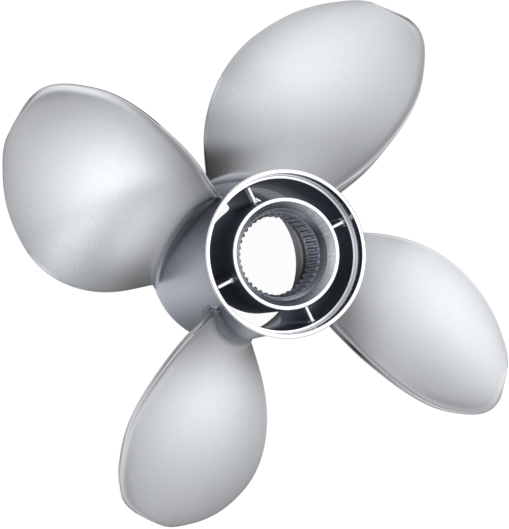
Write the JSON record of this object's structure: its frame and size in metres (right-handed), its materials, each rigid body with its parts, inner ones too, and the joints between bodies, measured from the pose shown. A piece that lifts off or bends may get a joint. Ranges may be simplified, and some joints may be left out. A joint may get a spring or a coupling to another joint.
{
  "type": "four-blade boat propeller",
  "caption": "Left-hand stainless-steel boat propeller with raked blades, exhaust passages through its barrel and a splined inner hub held on ribs.",
  "frame": {"origin": "centre of the barrel's front end, on the shaft axis, where the propeller stands when it rests on a floor with its aft end up", "axes": "+Z along the shaft axis towards the aft (outlet) end; +X along the middle line of blade_1"},
  "size_m": [0.398, 0.398, 0.1361],
  "materials": {
    "satin_steel": "satin-polished stainless steel",
    "polished_steel": "bright polished stainless steel",
    "cast_steel": "dark stainless steel as cast",
    "machined_steel": "machined stainless steel"
  },
  "bodies": {
    "root": {"barrel": "satin_steel", "diffuser_ring": "polished_steel", "inner_hub": "machined_steel", "spline_ring": "machined_steel", "rib_1": "cast_steel", "rib_2": "cast_steel", "rib_3": "cast_steel", "rib_4": "cast_steel", "blade_1": "satin_steel", "blade_2": "satin_steel", "blade_3": "satin_steel", "blade_4": "satin_steel"}
  },
  "joints": []
}
